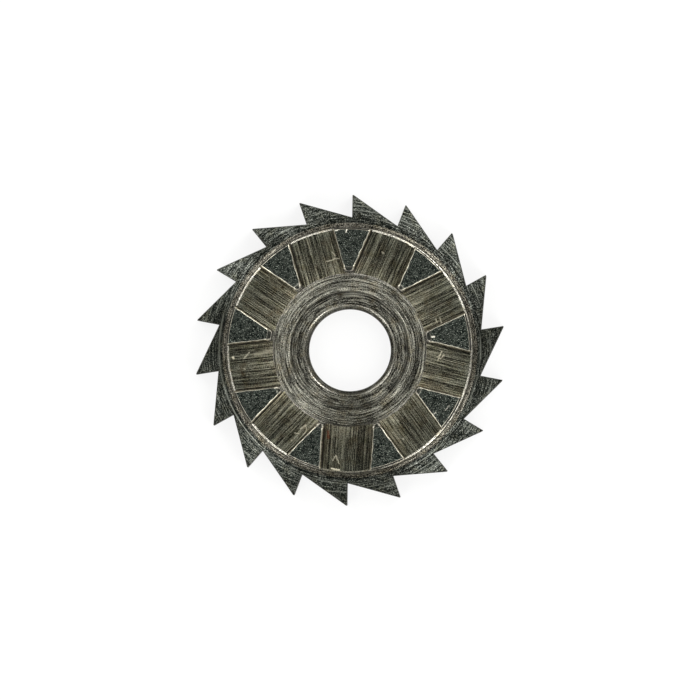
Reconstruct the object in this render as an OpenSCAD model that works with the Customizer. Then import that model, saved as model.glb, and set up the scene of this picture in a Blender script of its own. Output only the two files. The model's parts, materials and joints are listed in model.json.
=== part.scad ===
// Column wheel of a chronograph watch, turned and milled from one piece of steel.
// A flat ratchet plate with saw teeth carries a ring of three-cornered columns.
// The columns are what stays standing between straight slots of one width, and a
// stepped hollow turned into the middle leaves the bore that runs on its post.
// Lengths are millimetres and angles are degrees. The axis is +Z, the underside
// lies on Z = 0, and the steep face of the first tooth lies on +X.

/* [Ratchet plate] */
// Thickness of the toothed plate
plate_t = 0.5; // [0.3:0.01:0.8]
// Flat rim between the wall of the column drum and the root circle of the teeth
rim_w = 0.21; // [0.15:0.01:0.4]
// Depth of a tooth, from root circle to tip circle
tooth_depth = 0.41; // [0.2:0.01:0.6]
// Width of the small land that blunts a tooth's tip
tip_land = 0.02; // [0.005:0.005:0.06]
// Teeth for each column: the wheel turns one column in this many steps
teeth_per_column = 2; // [1:1:3]

/* [Columns] */
// Number of columns, and of the slots between them
column_count = 9; // [6:1:12]
// Outer diameter of the drum that the columns are cut from
drum_d = 4.46; // [4.2:0.01:5.0]
// Height of a column above the floor of the slots
column_h = 1.04; // [0.6:0.01:1.6]
// Width of a slot between its parallel walls
slot_w = 0.83; // [0.6:0.01:0.95]
// Sideways offset of a slot's centre line from the wheel's axis
slot_offset = 0.09; // [0:0.01:0.15]
// Angle from the first tooth's steep face to the first slot's centre line
slot_phase = 17; // [0:0.5:40]
// Bevel along the top edges of a column's two sides and of its outer face
edge_break = 0.04; // [0.01:0.005:0.08]
// Bevel turned on the inner tips of the columns
tip_bevel = 0.1; // [0.04:0.01:0.16]
// Radius of the cove where the drum meets the plate, also the step up to the slot floors
foot_r = 0.11; // [0.05:0.01:0.15]

/* [Hub] */
// Bore that runs on the post of the shouldered screw
bore_d = 1.5; // [1.2:0.01:1.8]
// Countersink at the upper mouth of the bore
bore_bevel = 0.08; // [0.03:0.01:0.12]
// Countersink at the lower mouth of the bore
under_bevel = 0.04; // [0.02:0.01:0.08]
// Width of the flat seat round the bore, which the screw's head bears on
seat_w = 0.23; // [0.15:0.01:0.35]
// Depth of the seat below the hub ring
seat_drop = 0.07; // [0.03:0.01:0.12]
// Bevel on the edge above the seat
seat_bevel = 0.04; // [0.01:0.005:0.06]
// Width of the turned hub ring round the seat
hub_w = 0.32; // [0.2:0.01:0.4]
// Depth of the hub ring below the slot floors
hub_drop = 0.05; // [0.02:0.01:0.1]
// Ledge left at slot-floor height between the hub ring and the columns' tips
ledge_w = 0.06; // [0.02:0.01:0.1]

/* [Hidden] */
$fn = 96;
steel = "#55534b";

// Cuts run this far past the faces that they open
overcut = 0.2;

// Radii, from the bore outwards
bore_r = bore_d / 2;
seat_r = bore_r + bore_bevel + seat_w;
hub_r = seat_r + hub_w;
column_in_r = hub_r + ledge_w;
drum_r = drum_d / 2;
root_r = drum_r + rim_w;
tip_r = root_r + tooth_depth;

// Heights, from the underside upwards
floor_z = plate_t + foot_r;
hub_z = floor_z - hub_drop;
seat_z = hub_z - seat_drop;
top_z = floor_z + column_h;

// Angular pitches, and the angle that the land takes up on the tip circle
tooth_count = teeth_per_column * column_count;
tooth_pitch = 360 / tooth_count;
column_pitch = 360 / column_count;
land_angle = 2 * asin(tip_land / 2 / tip_r);

function polar(r, angle) = [r * cos(angle), r * sin(angle)];

// Outline of the ratchet: each back is a straight line from one root up to the next
// tip, and each steep face falls along a radius to the root below it.
function ratchet_outline() = [
    for (i = [1 : tooth_count], point = [
        polar(root_r, (i - 1) * tooth_pitch),
        polar(tip_r, i * tooth_pitch - land_angle),
        polar(tip_r, i * tooth_pitch)
    ]) point
];

module ratchet_plate() {
    linear_extrude(plate_t) polygon(ratchet_outline());
}

// Half section of the drum: a bevelled top edge, and a cove at the foot
module drum_section() {
    polygon([
        [0, 0],
        [drum_r, 0],
        [drum_r, top_z - edge_break],
        [drum_r - edge_break, top_z],
        [0, top_z]
    ]);
    translate([drum_r, plate_t]) difference() {
        square(foot_r);
        translate([foot_r, foot_r]) circle(foot_r);
    }
}

// Section of the milling cut, with its floor on Y = 0 and flared walls that bevel
// the columns' edges on both sides of the slot
module slot_section() {
    half = slot_w / 2;
    flare = half + edge_break + overcut;
    polygon([
        [-half, 0],
        [half, 0],
        [half, column_h - edge_break],
        [flare, column_h + overcut],
        [-flare, column_h + overcut],
        [-half, column_h - edge_break]
    ]);
}

// One slot, milled from the hub outwards
module slot_cut(index) {
    rotate([0, 0, slot_phase + index * column_pitch])
        translate([0, slot_offset, floor_z])
            rotate([90, 0, 90])
                linear_extrude(drum_r + overcut) slot_section();
}

// Half section of the stepped hollow in the middle, from the bore up to the columns
module hollow_section() {
    polygon([
        [0, -overcut],
        [bore_r + under_bevel + overcut, -overcut],
        [bore_r, under_bevel],
        [bore_r, seat_z - bore_bevel],
        [bore_r + bore_bevel, seat_z],
        [seat_r, seat_z],
        [seat_r, hub_z - seat_bevel],
        [seat_r + seat_bevel, hub_z],
        [hub_r, hub_z],
        [hub_r, floor_z],
        [column_in_r, floor_z],
        [column_in_r, top_z - tip_bevel],
        [column_in_r + tip_bevel + overcut, top_z + overcut],
        [0, top_z + overcut]
    ]);
}

module column_wheel() {
    color(steel) difference() {
        union() {
            ratchet_plate();
            rotate_extrude() drum_section();
        }
        for (i = [0 : column_count - 1]) slot_cut(i);
        rotate_extrude() hollow_section();
    }
}

column_wheel();
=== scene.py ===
# %% [markdown]
# # Dressing a column wheel
# A column wheel is the switch of a chronograph watch. A pawl turns it one ratchet tooth at a
# time, and each step either lifts a lever onto one of its columns or lets it drop into a slot.
# The real one is a single piece of steel: turned on a lathe, slotted with a milling cutter, cut
# with saw teeth and then used for years. This lesson rebuilds that piece as one mesh with the
# marks of each tool, and then gives every tool's surface a material of its own.
#
# The imported solid fixes the size and the place. It is loaded first, and its box gives the
# reach of the teeth and the height.

import json
import math

import bpy
from mathutils import Matrix, Vector, noise


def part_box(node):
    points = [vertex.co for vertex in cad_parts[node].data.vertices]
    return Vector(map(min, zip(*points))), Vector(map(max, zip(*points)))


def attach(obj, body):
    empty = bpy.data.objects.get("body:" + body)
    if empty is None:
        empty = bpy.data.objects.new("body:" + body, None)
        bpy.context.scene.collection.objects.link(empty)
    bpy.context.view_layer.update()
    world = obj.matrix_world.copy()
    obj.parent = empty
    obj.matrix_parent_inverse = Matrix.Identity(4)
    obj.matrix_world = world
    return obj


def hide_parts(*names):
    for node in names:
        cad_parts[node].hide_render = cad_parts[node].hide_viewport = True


MM = 0.001
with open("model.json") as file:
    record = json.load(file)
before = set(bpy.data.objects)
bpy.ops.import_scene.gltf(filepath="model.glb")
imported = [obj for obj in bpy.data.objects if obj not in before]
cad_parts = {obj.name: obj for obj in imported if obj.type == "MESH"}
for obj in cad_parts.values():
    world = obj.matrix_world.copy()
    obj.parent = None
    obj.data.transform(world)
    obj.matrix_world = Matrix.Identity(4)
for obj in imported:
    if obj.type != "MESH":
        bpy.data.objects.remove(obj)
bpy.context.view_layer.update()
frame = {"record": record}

# %% [markdown]
# The sizes are in millimetres, under the names that the part's source gives them. What the frame
# knows is read from it: the reach of the teeth, the height, the bore and the screw's seat. The
# rest was measured on the photograph, or is the usual height of such a wheel.

# %% Sizes of the wheel
mounts = {mount["name"]: mount for mount in frame["record"]["mounts"]}
_, solid_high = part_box("column_wheel")
tip_r = solid_high.x / MM
top_z = solid_high.z / MM
bore_r = mounts["bore"]["dims"]["r_mm"]
seat_z = mounts["screw_seat"]["pos_m"][2] / MM

tooth_count = 18
tooth_depth = 0.41
tip_land = 0.02
plate_t = 0.5
column_count = 9
drum_r = 2.23
slot_w = 0.83
slot_offset = 0.09
slot_phase = math.radians(17)
edge_break = 0.04
tip_bevel = 0.1
foot_r = 0.11
bore_bevel = 0.08
under_bevel = 0.04
seat_w = 0.23
seat_bevel = 0.04
hub_w = 0.32
hub_drop = 0.05
ledge_w = 0.06

root_r = tip_r - tooth_depth
floor_z = plate_t + foot_r
hub_z = floor_z - hub_drop
countersink_r = bore_r + bore_bevel
seat_r = countersink_r + seat_w
hub_r = seat_r + hub_w
column_in_r = hub_r + ledge_w
radii = (bore_r, seat_r, hub_r, column_in_r, drum_r, root_r, tip_r)
print("radii, in mm:", [round(radius, 3) for radius in radii])

# %% [markdown]
# The photograph looks down on the wheel from far off, so a long lens stands high above it. The
# width over the tips, in pixels, gives the scale. Two small turns make it fit: the wheel lies
# nine degrees round in the picture, and the lens stands about a degree off the axis, to the
# lower right, so the tops of the columns lean a pixel to the upper left.

# %% Camera
picture_side = 700
tips_in_picture = 310.8
mm_per_pixel = 2 * tip_r / tips_in_picture
wheel_turn = math.radians(9)
wheel_aside = (-0.2, -0.25)
camera_height = 240
camera_lean = (0.0177, -0.0079)
sensor_side = 36
nearest_seen = 10
farthest_seen = 10000

picture_right = Vector((math.cos(wheel_turn), -math.sin(wheel_turn), 0))
picture_up = Vector((math.sin(wheel_turn), math.cos(wheel_turn), 0))
aim = -(picture_right * wheel_aside[0] + picture_up * wheel_aside[1]) * mm_per_pixel
aim.z = plate_t
lean = picture_right * camera_lean[0] + picture_up * camera_lean[1]
back = (lean + Vector((0, 0, 1))).normalized()
upright = back.cross(picture_right).normalized()
sideways = upright.cross(back)

lens = bpy.data.cameras.new("long lens")
lens.sensor_fit = "HORIZONTAL"
lens.sensor_width = sensor_side
lens.lens = sensor_side * camera_height / (picture_side * mm_per_pixel)
lens.clip_start = nearest_seen * MM
lens.clip_end = farthest_seen * MM
camera = bpy.data.objects.new("camera", lens)
camera.location = (aim + back * camera_height) * MM
camera.rotation_euler = Matrix((sideways, upright, back)).transposed().to_euler()
bpy.context.scene.collection.objects.link(camera)
bpy.context.scene.camera = camera
print("lens, in mm:", round(lens.lens), "picture, in mm:", round(picture_side * mm_per_pixel, 2))

# %% [markdown]
# ## The mesh
# A cut of the wheel through its axis is a closed line: up the bore, over the hub, up and down the
# columns, out over the teeth, down their flanks and back along the underside. Boolean cuts would
# make that shape too, but they leave large faces that can't hold tool marks. So the surface is
# laid out as rings of points that follow that line, and each ring is joined to the next. A face
# remembers which tool left it, by the name of its finish.

# %% Points and faces
points = []
faces = []
face_finish = []


def add_point(radius, angle, height):
    """One point at a radius, an angle and a height, in mm and radians."""
    points.append((radius * math.cos(angle), radius * math.sin(angle), height))
    return len(points) - 1


def add_face(corners, finish):
    """One face. Corners that are the same point count once."""
    kept = list(dict.fromkeys(corners))
    if len(kept) > 2:
        faces.append(kept)
        face_finish.append(finish)


# %% Joining rings
def join_rings(first, second, finish):
    """Four-sided faces between two rings with as many points. finish is one name, or one a step."""
    count = len(first)
    for i in range(count):
        j = (i + 1) % count
        name = finish if isinstance(finish, str) else finish[i]
        add_face((first[i], second[i], second[j], first[j]), name)


def turn_of(point):
    """Angle of a point round the axis, from 0 to a full turn."""
    x, y, _ = points[point]
    return math.atan2(y, x) % math.tau


def zip_rings(first, second, finish):
    """Three-sided faces between two rings with different counts, led by the angle of their points."""
    first = sorted(first, key=turn_of)
    second = sorted(second, key=turn_of)
    i = j = 0
    while i < len(first) or j < len(second):
        a, b = first[i % len(first)], second[j % len(second)]
        next_a, next_b = first[(i + 1) % len(first)], second[(j + 1) % len(second)]
        turn_a = turn_of(next_a) + math.tau * (i + 1 >= len(first))
        turn_b = turn_of(next_b) + math.tau * (j + 1 >= len(second))
        if j >= len(second) or (i < len(first) and turn_a <= turn_b):
            add_face((a, b, next_a), finish)
            i += 1
        else:
            add_face((a, b, next_b), finish)
            j += 1


# %% [markdown]
# A lathe tool leaves a fine spiral that reads as concentric lines, and a milling cutter leaves
# straight ones along its path. Both are drawn into the heights of the points with Blender's own
# noise: it changes fast across the lines and slowly along them. The real lines are a few
# thousandths of a millimetre deep, and so are these. Fine lines lie over broader ones, and a
# shift in the noise keeps one surface from repeating another.

# %% Tool marks
turn_spacing = 0.02
turn_depth = 0.00132
turn_broader = 0.4
fine_drift = 1.6
broad_drift = 0.8
mill_spacing = 0.022
mill_length = 0.8
mill_fine_depth = 0.0032
mill_broad_depth = 0.0004
mill_broader = 0.3
mill_longer = 0.7
fine_slot_shift = 7.3
broad_slot_shift = 3.1
broad_shift = 40


def turned_mark(radius, angle, shift=0.0):
    """Height of the lathe's lines at a place, in mm."""
    line = radius / turn_spacing
    x, y = math.cos(angle), math.sin(angle)
    fine = Vector((line, fine_drift * x + shift, fine_drift * y))
    broad = Vector((line * turn_broader, broad_drift * x, broad_drift * y + shift))
    return turn_depth * (noise.noise(fine) + noise.noise(broad))


def milled_mark(slot, along, across):
    """Height of the milling cutter's lines in a slot, in mm."""
    line = across / mill_spacing
    run = along / mill_length
    fine = Vector((line, run, fine_slot_shift * slot))
    broad = Vector((line * mill_broader, run * mill_longer, broad_slot_shift * slot + broad_shift))
    return mill_fine_depth * noise.noise(fine) + mill_broad_depth * noise.noise(broad)


print("line depths, in mm:", turn_depth, "turned,", mill_fine_depth, "milled")

# %% [markdown]
# The hub is a lathe's work from end to end, so its section is walked in small steps and swept
# round the axis. The section's corners would be razor sharp. A little smoothing of the walked
# line gives each of them the tiny round that deburring leaves, and light then runs along it.
# The screw has worn a rounder lip where the countersink meets the seat.

# %% Section of the hub
hub_points = 288
walk_step = 0.01
bore_step = 0.06
relief_w = 0.045
relief_drop = 0.025
relief_slope = 0.005
hub_break = 0.02
relief_in_r = seat_r - relief_w
worn_lip = ((-0.012, -0.012, "countersink"), (0.001, -0.004, "seat edge"), (0.01, 0.0, "seat edge"))
hub_section = [
    (bore_r + under_bevel, 0.0, None),
    (bore_r, under_bevel, "edge"),
    (bore_r, seat_z - bore_bevel, "bore"),
    *[(countersink_r + out, seat_z + up, finish) for out, up, finish in worn_lip],
    (relief_in_r, seat_z, "hub"),
    (relief_in_r + relief_slope, seat_z - relief_drop, "hub"),
    (seat_r, seat_z - relief_drop, "hub"),
    (seat_r, hub_z - seat_bevel, "hub"),
    (seat_r + seat_bevel, hub_z, "hub"),
    (hub_r, hub_z, "hub"),
    (hub_r, floor_z - hub_break, "hub"),
    (hub_r + hub_break, floor_z, "hub edge"),
]


# %% Steps along the section
def walk(section):
    """Points along a section, a step apart, each with the finish of the line that leads to it."""
    path = [section[0]]
    for (r0, z0, _), (r1, z1, finish) in zip(section, section[1:]):
        step = bore_step if finish == "bore" else walk_step
        count = max(2, round(math.hypot(r1 - r0, z1 - z0) / step))
        for i in range(1, count + 1):
            share = i / count
            path.append((r0 + (r1 - r0) * share, z0 + (z1 - z0) * share, finish))
    return path


def soften(path):
    """The path with round corners: a point moves halfway to the middle of its neighbours."""
    soft = [path[0]]
    for before, here, after in zip(path, path[1:], path[2:]):
        radius = here[0] / 2 + (before[0] + after[0]) / 4
        height = here[1] / 2 + (before[1] + after[1]) / 4
        soft.append((radius, height, here[2]))
    return soft + [path[-1]]


def lathe_ring(radius, height, marked):
    """A ring of points round the axis, with the lathe's lines in its heights if it is marked."""
    ring = []
    for i in range(hub_points):
        angle = math.tau * i / hub_points
        mark = turned_mark(radius, angle) if marked else 0
        ring.append(add_point(radius, angle, height + mark))
    return ring


# %% Sweep the hub
hub_path = soften(walk(hub_section))
bore_ring = lathe_ring(*hub_path[0][:2], False)
ring = bore_ring
for radius, height, finish in hub_path[1:]:
    outer = lathe_ring(radius, height, finish == "hub")
    join_rings(ring, outer, finish)
    ring = outer
hub_ring = ring
print("hub:", len(hub_path), "rings of", hub_points, "points")

# %% [markdown]
# ## Slots and columns
# A ring through the drum crosses nine slot floors and nine columns. Its points lie on lines that
# follow the slot: on a floor they run parallel to its walls, which is the way the cutter went, so
# the milled lines come out straight. A rise, a top and a fall carry the ring over each column. The
# cutter and the dividing head were never perfect: each wall stands a hundredth or two off its place,
# and hand work with a stone left the bevels a little uneven.

# %% Slots, bevels and their faults
floor_steps = 100
bevel_steps = 4
top_steps = 20
tip_round = 0.07
tip_round_share = 0.45
bevel_uneven = 0.35
bevel_patch = 0.09
bevel_shift = 5.7
bevel_plane = 0.5
fall_shift = 20
widest_bevel = 0.42
pitch = math.tau / column_count
low_errors = (0.018, -0.007, 0.015, -0.019, 0.014, -0.012, -0.025, 0.001, -0.001)
high_errors = (0.014, -0.003, -0.008, -0.019, 0.016, 0.002, 0.019, 0.003, -0.025)
slot_lows = [slot_offset - slot_w / 2 + error for error in low_errors]
slot_highs = [slot_offset + slot_w / 2 + error for error in high_errors]


def bevel_place(share):
    """How far a worn bevel has gone sideways and up, from the wall at 0 to the top at 1."""
    turn = share * math.pi / 2
    return (share + 1 - math.cos(turn)) / 2, (share + math.sin(turn)) / 2


def bevel_width(radius, edge):
    """Width of a column's bevel: a little uneven, and wider at the inner tip, which it rounds off."""
    uneven = noise.noise(Vector((radius / bevel_patch, bevel_shift * edge, bevel_plane)))
    near_tip = min(1.0, max(0.0, 1 - (radius - column_in_r) / tip_round))
    rounding = tip_round * tip_round_share * (1 - math.sqrt(1 - near_tip * near_tip))
    return edge_break * (1 + bevel_uneven * uneven) + rounding


print("slot walls, in mm off their places: up to", max(map(abs, low_errors + high_errors)))

# %% Lines through the drum
def drum_lines(radius):
    """Each line that crosses a ring, in order: its kind, slot, angle, place across and rise."""
    for slot in range(column_count):
        turn = slot_phase + slot * pitch
        slot_low, slot_high = slot_lows[slot], slot_highs[slot]
        next_low = slot_lows[(slot + 1) % column_count]
        room = radius * (pitch + math.asin(next_low / radius) - math.asin(slot_high / radius))
        rise_w = min(bevel_width(radius, slot), widest_bevel * room)
        fall_w = min(bevel_width(radius, slot + fall_shift), widest_bevel * room)
        for step in range(floor_steps + 1):
            across = slot_low + (slot_high - slot_low) * step / floor_steps
            yield "floor", slot, turn + math.asin(across / radius), across, 0
        for step in range(bevel_steps + 1):
            side, rise = bevel_place(step / bevel_steps)
            across = slot_high + rise_w * side
            yield "rise", slot, turn + math.asin(across / radius), across, rise
        start = turn + math.asin((slot_high + rise_w) / radius)
        end = turn + pitch + math.asin((next_low - fall_w) / radius)
        for step in range(1, top_steps):
            yield "top", slot, start + (end - start) * step / top_steps, 0, 1
        for step in range(bevel_steps, -1, -1):
            side, rise = bevel_place(step / bevel_steps)
            across = next_low - fall_w * side
            yield "fall", slot + 1, turn + pitch + math.asin(across / radius), across, rise


print("lines through a ring:", len(list(drum_lines(drum_r))))

# %% [markdown]
# A ring puts one point on each of these lines. On a floor the point takes the height of the milled
# lines, and on a column it stands as high as the bevels let it. Where the columns begin and end, a
# second ring at their feet makes upright walls. Each point also notes its place in the slot, in
# millimetres along and across it, and in a lane of its own for each slot. That becomes the map
# that the milled patterns follow.

# %% Heights in a slot
floor_edge = 0.012
lane_pitch = 10
wall_h = top_z - edge_break - floor_z
lay = {}


def length_in_slot(radius, across):
    """How far along its slot a point lies."""
    return math.sqrt(radius * radius - across * across)


def floor_height(radius, slot, across):
    """Height of a slot's floor, with the milled lines, which fade out at its outer edge."""
    past = max(0.0, radius - (drum_r - floor_edge)) / floor_edge
    return floor_z + milled_mark(slot, length_in_slot(radius, across), across) * (1 - past)


# %% Rings over floors and columns
def drum_ring(radius, cap):
    """A ring over floors and columns. No column stands higher than cap at this radius."""
    ring = []
    for kind, slot, angle, across, rise in drum_lines(radius):
        if kind == "floor":
            height = floor_height(radius, slot, across)
        else:
            height = min(top_z - edge_break * (1 - rise), cap)
        point = add_point(radius, angle, height)
        ring.append(point)
        up = wall_h * (kind != "floor") * (1 if kind == "rise" else -1)
        lane = lane_pitch * (slot % column_count)
        lay[point] = (length_in_slot(radius, across), across + up + lane)
    return ring


def foot_ring(ring, radius):
    """The foot of a ring's columns: floor points stay, and the others are set down beside them."""
    foot = []
    for i, (kind, _, angle, _, rise) in enumerate(drum_lines(radius)):
        if kind == "floor":
            foot.append(ring[i])
        elif kind == "rise" and rise == 0:
            foot.append(ring[i - 1])
        elif kind == "fall" and rise == 0:
            foot.append(ring[(i + 1) % len(ring)])
        else:
            foot.append(add_point(radius, angle, floor_z))
    return foot


# %% Rings on the ledge
def ledge_ring(radius):
    """A ring inside the columns, where everything lies at the height of the slot floors."""
    ring = []
    for kind, slot, angle, across, rise in drum_lines(radius):
        if kind == "floor":
            point = add_point(radius, angle, floor_height(radius, slot, across))
            lay[point] = (length_in_slot(radius, across), across + lane_pitch * slot)
            ring.append(point)
        elif kind == "top" or rise > 0:
            ring.append(add_point(radius, angle, floor_z + turned_mark(radius, angle)))
    return ring


# %% [markdown]
# The rings start at the hub's edge, run over the ledge, climb the turned bevel on the columns'
# inner tips, cross the tops and end in the worn bevel at the drum's outer edge. They lie close
# together only where the form bends. Of a bevel, only the uppermost part is rubbed bright, and
# more of it at the inner tips, where the photograph shows the bright lines run on to the end.

# %% Finishes along a ring
middle_steps = 14
bright_rise = 0.7
tip_bright_rise = 0.5
tip_bright_strips = 5
outer_break = 0.028
ledge_inset = 0.02
hub_gap = 0.01
inner_top_r = column_in_r + tip_bevel
top_w = drum_r - outer_break - inner_top_r
tip_strips = ("edge",) + ("tip bevel",) * 5 + ("tip line", "lapped")
outer_strips = ("edge",) + ("outer bevel",) * 4


def step_finishes(floor, top, edge, edge_rise):
    """The finish of each step round a drum ring, from the kinds of line at its two ends."""
    lines = [(line[0], line[4]) for line in drum_lines(drum_r)]
    names = []
    for (here, rise), (there, next_rise) in zip(lines, lines[1:] + lines[:1]):
        if here == "floor" and there == "floor":
            names.append(floor)
        elif "floor" in (here, there):
            names.append("wall")
        elif here == there != "top":
            names.append(edge if min(rise, next_rise) > edge_rise else "bevel")
        else:
            names.append(top)
    return names


# %% Plan of the rings
plan = [(column_in_r, top_z - tip_bevel, None)]
for step, strip in enumerate(tip_strips, 1):
    side, rise = bevel_place(step / len(tip_strips))
    plan.append((column_in_r + tip_bevel * side, top_z - tip_bevel * (1 - rise), strip))
for step in range(1, middle_steps + 1):
    plan.append((inner_top_r + top_w * step / middle_steps, top_z, "lapped"))
for step, strip in enumerate(outer_strips, 1):
    side, rise = bevel_place(1 - step / len(outer_strips))
    plan.append((drum_r - outer_break * side, top_z - outer_break * (1 - rise), strip))
print("rings planned over the drum:", len(plan))

# %% Join the drum
tip_ring = drum_ring(*plan[0][:2])
ring = tip_ring
for number, (radius, cap, strip) in enumerate(plan[1:]):
    outer = drum_ring(radius, cap)
    floor_name = "floor edge" if radius > drum_r - floor_edge else "milled"
    at_tip = number < tip_bright_strips
    edge = ("tip edge", tip_bright_rise) if at_tip else ("edge", bright_rise)
    join_rings(ring, outer, step_finishes(floor_name, strip, *edge))
    ring = outer
drum_foot = foot_ring(ring, drum_r)
join_rings(ring, drum_foot, "drum wall")
tip_foot = foot_ring(tip_ring, column_in_r)
join_rings(tip_foot, tip_ring, "wall")
print("faces of the hub and the drum:", len(faces))

# %% Join the ledge to the hub
ring = list(dict.fromkeys(tip_foot))
steps = zip(ring, ring[1:] + ring[:1])
ledge_finish = ["milled" if a in lay and b in lay else "hub" for a, b in steps]
for radius in (column_in_r - ledge_inset, hub_r + hub_break + hub_gap):
    inner = ledge_ring(radius)
    join_rings(inner, ring, ledge_finish)
    ring = inner
zip_rings(hub_ring, ring, "hub edge")
print("points of the hub and the drum:", len(points))

# %% [markdown]
# ## Rim and teeth
# Each saw tooth is a steep face along a radius and a straight back. All edges are broken by a
# hundredth of a millimetre, so the outline is needed twice: as it is, and drawn in by that break.
# Both come from the same two lines, moved inwards.

# %% Lines of a tooth
tooth_steps = 20
tooth_rows = 40
tooth_break = 0.012
halvings = 60
tooth_pitch = math.tau / tooth_count
land_angle = 2 * math.asin(tip_land / 2 / tip_r)
rim_points = tooth_count * tooth_steps

back_start = Vector((root_r, 0))
back_end_turn = tooth_pitch - land_angle
back_end = Vector((math.cos(back_end_turn), math.sin(back_end_turn))) * tip_r
back_run = (back_end - back_start).normalized()
back_normal = Vector((back_run.y, -back_run.x))
back_turn = math.atan2(back_normal.y, back_normal.x)
back_reach = back_normal.dot(back_start)


def back_angle(radius, inset):
    """Angle from a tooth's root to its back, at a radius, with the outline drawn in by inset."""
    return back_turn + math.acos(min(1.0, (back_reach - inset) / radius))


def steep_angle(radius, inset):
    """Angle from a tooth's root to its steep face, at a radius."""
    return tooth_pitch - math.asin(inset / radius)


print("tooth pitch, in degrees:", round(math.degrees(tooth_pitch), 1))

# %% Outline of the teeth
def root_radius(inset):
    """Radius where a steep face meets the next tooth's back, found by halving."""
    low, high = back_reach - inset, root_r
    for _ in range(halvings):
        middle = (low + high) / 2
        if back_angle(middle, inset) + tooth_pitch > steep_angle(middle, inset):
            high = middle
        else:
            low = middle
    return (low + high) / 2


def outline(inset, height):
    """The outline of all teeth at a height, drawn in by inset: roots, backs, lands, steep faces."""
    root, tip = root_radius(inset), tip_r - inset
    loop = []
    for tooth in range(tooth_count):
        turn = tooth * tooth_pitch
        rows = [root + (tip - root) * row / tooth_rows for row in range(tooth_rows + 1)]
        for radius in rows:
            loop.append(add_point(radius, turn + back_angle(radius, inset), height))
        for radius in reversed(rows[1:]):
            loop.append(add_point(radius, turn + steep_angle(radius, inset), height))
    return loop


inner_root_r = root_radius(tooth_break)
root_start = back_angle(inner_root_r, tooth_break)
print("root circle, in mm:", round(root_r, 3), "drawn in:", round(inner_root_r, 3))

# %% [markdown]
# The drum's foot is turned a hair wider than the columns, with a worn edge that shines as a bright
# ring. From there a hollow round, the cove, runs down to the ratchet plate. The lathe left two
# deeper lines in the flat rim. All of this is turned, so plain rings do it.

# %% Height of the rim
foot_extra = 0.022
foot_round = 0.02
foot_steps = 6
cove_steps = 12
rim_step = 0.008
rim_grooves = (2.371, 2.415)
groove_w = 0.014
groove_depth = 0.004
plate_share = 0.55
plate_shift = 20
foot_ring_r = drum_r + foot_extra
cove_end_r = drum_r + foot_r
quarter = math.pi / 2


def rim_height(radius, angle):
    """Height of the plate's upper face, with the lathe's fine lines and its two deeper ones."""
    cut = sum(max(0.0, 1 - abs(radius - groove) / groove_w) for groove in rim_grooves)
    return plate_t + plate_share * turned_mark(radius, angle, plate_shift) - groove_depth * cut


def rim_ring(radius, height=None):
    """A ring with one point for each step of each tooth, on the plate if no height is given."""
    ring = []
    for i in range(rim_points):
        angle = tooth_pitch * i / tooth_steps
        ring.append(add_point(radius, angle, rim_height(radius, angle) if height is None else height))
    return ring


# %% Foot ring, cove and rim
rim_plan = []
for step in range(1, foot_steps + 1):
    turn = quarter * step / foot_steps
    radius = foot_ring_r - foot_round * (1 - math.sin(turn))
    rim_plan.append((radius, floor_z - foot_round * (1 - math.cos(turn)), "floor edge"))
for step in range(1, cove_steps + 1):
    turn = quarter * step / cove_steps
    radius = foot_ring_r + (cove_end_r - foot_ring_r) * (1 - math.cos(turn))
    rim_plan.append((radius, floor_z - foot_round - (foot_r - foot_round) * math.sin(turn), "cove"))
rim_steps = round((inner_root_r - cove_end_r) / rim_step)
for step in range(1, rim_steps):
    rim_plan.append((cove_end_r + (inner_root_r - cove_end_r) * step / rim_steps, None, "plate"))

ring = rim_ring(foot_ring_r - foot_round, floor_z)
zip_rings(list(dict.fromkeys(drum_foot)), ring, "cove")
for radius, height, finish in rim_plan:
    outer = rim_ring(radius, height)
    join_rings(ring, outer, finish)
    ring = outer
print("rim:", len(rim_plan), "rings of", rim_points, "points")

# %% [markdown]
# The tops of the teeth are filled with arcs, row by row from the root to the tip. The lathe faced
# the plate before the teeth were cut, so its lines run on over them.

# %% Tops of the teeth
root_points = []
for i in range(rim_points):
    angle = root_start + tooth_pitch * i / tooth_steps
    root_points.append(add_point(inner_root_r, angle, rim_height(inner_root_r, angle)))
join_rings(ring, root_points, "plate")

tooth_edges = []
for tooth in range(tooth_count):
    turn = tooth * tooth_pitch
    arc = [root_points[(tooth * tooth_steps + step) % rim_points] for step in range(tooth_steps + 1)]
    back_points, steep_points = [arc[0]], []
    for row in range(1, tooth_rows + 1):
        radius = inner_root_r + (tip_r - tooth_break - inner_root_r) * row / tooth_rows
        start, end = back_angle(radius, tooth_break), steep_angle(radius, tooth_break)
        outer = []
        for step in range(tooth_steps + 1):
            angle = turn + start + (end - start) * step / tooth_steps
            outer.append(add_point(radius, angle, rim_height(radius, angle)))
        for step in range(tooth_steps):
            add_face((arc[step], outer[step], outer[step + 1], arc[step + 1]), "plate")
        back_points.append(outer[0])
        steep_points.append(outer[-1])
        arc = outer
    tooth_edges.append((back_points, arc, steep_points))
print("teeth:", tooth_count, "of", tooth_rows, "rows")

# %% [markdown]
# The flanks of the teeth drop straight down to the underside, with a small break along both
# edges. The underside isn't in the photograph, so it stays plain and flat, as a ground face is.

# %% Flanks
loop_count = 2 * tooth_rows + 1
upper = outline(0, plate_t - tooth_break)
lower = outline(0, tooth_break)
bottom = outline(tooth_break, 0)

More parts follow.
